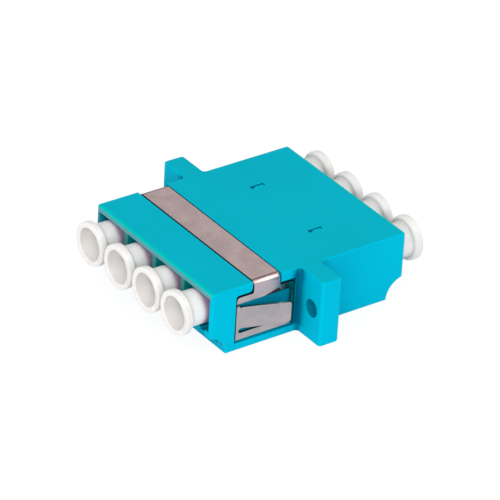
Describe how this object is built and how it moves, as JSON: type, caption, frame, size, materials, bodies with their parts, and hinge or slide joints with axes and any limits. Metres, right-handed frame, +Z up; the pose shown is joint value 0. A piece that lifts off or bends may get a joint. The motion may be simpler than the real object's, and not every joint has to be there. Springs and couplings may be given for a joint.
{
  "type": "lc fibre adapter",
  "caption": "Flanged LC fibre adapter block with a row of ports at each end, dust caps and a folded spring clip for mounting in a panel.",
  "frame": {"origin": "centre of the housing's underside", "axes": "+X across the ports, +Y along the fibres away from the clip's end, +Z up"},
  "size_m": [0.0348, 0.0362, 0.0092],
  "materials": {
    "aqua_plastic": "satin moulded thermoplastic in aqua",
    "white_plastic": "soft white moulded polyethylene, slightly translucent",
    "spring_steel": "thin stainless spring sheet, satin",
    "zirconia": "ground white ceramic"
  },
  "bodies": {
    "adapter": {"housing": "aqua_plastic", "panel_clip": "spring_steel", "sleeve_holder_left": "aqua_plastic", "sleeve_holder_right": "aqua_plastic", "split_sleeve_1": "zirconia", "split_sleeve_2": "zirconia", "split_sleeve_3": "zirconia", "split_sleeve_4": "zirconia"},
    "front_cap_1": {"front_dust_cap_1": "white_plastic"},
    "front_cap_2": {"front_dust_cap_2": "white_plastic"},
    "front_cap_3": {"front_dust_cap_3": "white_plastic"},
    "front_cap_4": {"front_dust_cap_4": "white_plastic"},
    "rear_cap_1": {"rear_dust_cap_1": "white_plastic"},
    "rear_cap_2": {"rear_dust_cap_2": "white_plastic"},
    "rear_cap_3": {"rear_dust_cap_3": "white_plastic"},
    "rear_cap_4": {"rear_dust_cap_4": "white_plastic"}
  },
  "joints": [
    {"name": "front_cap_1_pull", "type": "slide", "parent": "adapter", "child": "front_cap_1", "axis": [0, -1, 0], "range_m": [0, 0.01]},
    {"name": "front_cap_2_pull", "type": "slide", "parent": "adapter", "child": "front_cap_2", "axis": [0, -1, 0], "range_m": [0, 0.01]},
    {"name": "front_cap_3_pull", "type": "slide", "parent": "adapter", "child": "front_cap_3", "axis": [0, -1, 0], "range_m": [0, 0.01]},
    {"name": "front_cap_4_pull", "type": "slide", "parent": "adapter", "child": "front_cap_4", "axis": [0, -1, 0], "range_m": [0, 0.01]},
    {"name": "rear_cap_1_pull", "type": "slide", "parent": "adapter", "child": "rear_cap_1", "axis": [0, 1, 0], "range_m": [0, 0.01]},
    {"name": "rear_cap_2_pull", "type": "slide", "parent": "adapter", "child": "rear_cap_2", "axis": [0, 1, 0], "range_m": [0, 0.01]},
    {"name": "rear_cap_3_pull", "type": "slide", "parent": "adapter", "child": "rear_cap_3", "axis": [0, 1, 0], "range_m": [0, 0.01]},
    {"name": "rear_cap_4_pull", "type": "slide", "parent": "adapter", "child": "rear_cap_4", "axis": [0, 1, 0], "range_m": [0, 0.01]}
  ]
}
